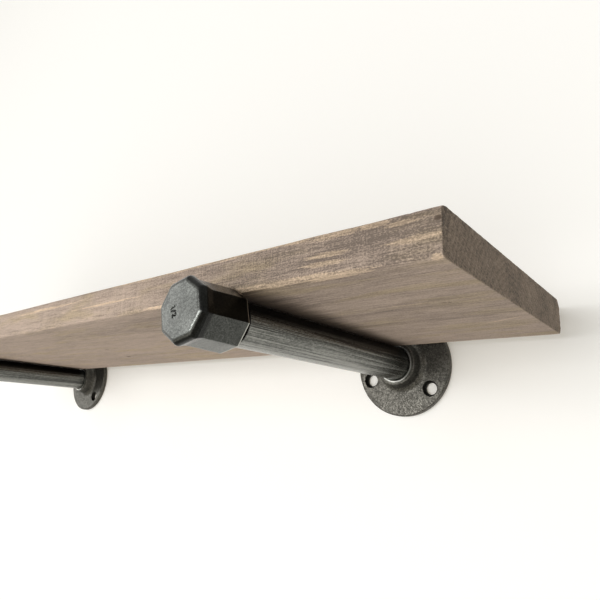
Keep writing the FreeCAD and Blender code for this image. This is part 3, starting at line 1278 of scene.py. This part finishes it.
def stand_softbox(name, level, distance, width, height, towards_left, elevation):
    """Long soft box, with its level as it reaches the shelf."""
    data = bpy.data.lights.new(name, "AREA")
    data.shape = "RECTANGLE"
    data.size = width
    data.size_y = height
    data.energy = level * math.pi * distance ** 2
    aim_lamp(data, towards_left, elevation, distance)


def hang_lamp(name, level, width, towards_left, elevation):
    """Far, wide soft lamp, with its width in degrees as seen from the shelf."""
    data = bpy.data.lights.new(name, "SUN")
    data.energy = level
    data.angle = math.radians(width)
    aim_lamp(data, towards_left, elevation)


def stand_camera():
    """Camera that looks up at the shelf's near corner."""
    data = bpy.data.cameras.new("camera")
    data.lens = CAMERA_LENS
    data.sensor_width = 36.0
    data.clip_start = 0.01
    data.clip_end = 50.0
    camera = bpy.data.objects.new("camera", data)
    camera.location = CAMERA_PLACE
    camera.rotation_euler = [math.radians(angle) for angle in CAMERA_TURN]
    bpy.context.scene.collection.objects.link(camera)
    bpy.context.scene.camera = camera


def build_stage():
    """Wall and floor, the light, and the camera."""
    stage = bpy.context.scene.pipe_shelf_stage
    far = 4.0
    foot = -1.2
    top = 2.6
    wall_y = 0.4 * MM
    wall_paint = backdrop_material("wall_paint", stage.wall_colour,
                                   glow_seen=0.17, glow_other=0.44, one_sided=True)
    sheet("wall", [(-far, wall_y, foot), (far, wall_y, foot),
                   (far, wall_y, top), (-far, wall_y, top)], wall_paint)
    floor_paint = backdrop_material("floor_paint", stage.wall_colour,
                                    glow_seen=0.32, glow_other=0.92, one_sided=False)
    sheet("floor", [(-far, -far, foot), (far, -far, foot),
                    (far, wall_y, foot), (-far, wall_y, foot)], floor_paint)
    light_room(stage.room_light)
    hang_lamp("wide_lamp", stage.lamp_strength, width=30.0, towards_left=14.0, elevation=5.0)
    hang_lamp("side_lamp", stage.side_strength, width=30.0, towards_left=55.0, elevation=9.0)
    stand_softbox("softbox", stage.softbox_strength, distance=2.8, width=2.2, height=0.46,
                  towards_left=9.0, elevation=1.0)
    stand_camera()
    bpy.context.scene.view_settings.view_transform = "Standard"


# ---- Operators, panel and registration ----

def give(piece, material, node, body):
    """Dresses a piece and has it stand for its node on its body."""
    piece.data.materials.append(material)
    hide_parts(node)
    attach(piece, body)


def give_brackets(build, material, node):
    """Builds one kind of piece for each bracket and dresses it."""
    for side, sign in SIDES.items():
        give(build(side, sign * bracket_x), material, f"{side}_{node}", "brackets")


class BuildPlank(bpy.types.Operator):
    """Build the weathered plank"""
    bl_idname = "pipe_shelf.build_plank"
    bl_label = "Build Plank"

    def execute(self, context):
        give(build_plank(), wood_finish(), "shelf_board", "board")
        return {"FINISHED"}


class BuildFlanges(bpy.types.Operator):
    """Build the two cast floor flanges"""
    bl_idname = "pipe_shelf.build_flanges"
    bl_label = "Build Flanges"

    def execute(self, context):
        give_brackets(build_flange, flange_finish(), "flange")
        return {"FINISHED"}


class BuildPipes(bpy.types.Operator):
    """Build the two threaded pipes"""
    bl_idname = "pipe_shelf.build_pipes"
    bl_label = "Build Pipes"

    def execute(self, context):
        give_brackets(build_pipe, steel_finish(), "pipe")
        return {"FINISHED"}


class BuildCaps(bpy.types.Operator):
    """Build the two octagonal end caps"""
    bl_idname = "pipe_shelf.build_caps"
    bl_label = "Build End Caps"

    def execute(self, context):
        give_brackets(build_cap, cap_finish(), "end_cap")
        return {"FINISHED"}


class BuildStage(bpy.types.Operator):
    """Set up the wall, the floor, the lights and the camera"""
    bl_idname = "pipe_shelf.build_stage"
    bl_label = "Build Stage"

    def execute(self, context):
        build_stage()
        return {"FINISHED"}


class PipeShelfPanel(bpy.types.Panel):
    """Sizes, colours and build steps of the pipe shelf"""
    bl_idname = "VIEW3D_PT_pipe_shelf"
    bl_label = "Pipe Shelf"
    bl_space_type = "VIEW_3D"
    bl_region_type = "UI"
    bl_category = "Pipe Shelf"

    def draw(self, context):
        for prop_name, _, operator in PARTS:
            settings = getattr(context.scene, prop_name)
            box = self.layout.box()
            for key in settings.__annotations__:
                box.prop(settings, key)
            box.operator(operator.bl_idname)


PARTS = (
    ("pipe_shelf_stage", StageSettings, BuildStage),
    ("pipe_shelf_plank", PlankSettings, BuildPlank),
    ("pipe_shelf_flange", FlangeSettings, BuildFlanges),
    ("pipe_shelf_pipe", PipeSettings, BuildPipes),
    ("pipe_shelf_cap", CapSettings, BuildCaps),
)


def register():
    for prop_name, settings, operator in PARTS:
        bpy.utils.register_class(settings)
        bpy.utils.register_class(operator)
        setattr(bpy.types.Scene, prop_name, PointerProperty(type=settings))
    bpy.utils.register_class(PipeShelfPanel)


def unregister():
    bpy.utils.unregister_class(PipeShelfPanel)
    for prop_name, settings, operator in reversed(PARTS):
        delattr(bpy.types.Scene, prop_name)
        bpy.utils.unregister_class(operator)
        bpy.utils.unregister_class(settings)


def main():
    register()
    bpy.ops.pipe_shelf.build_stage()
    bpy.ops.pipe_shelf.build_plank()
    bpy.ops.pipe_shelf.build_flanges()
    bpy.ops.pipe_shelf.build_pipes()
    bpy.ops.pipe_shelf.build_caps()


if __name__ == "__main__":
    main()
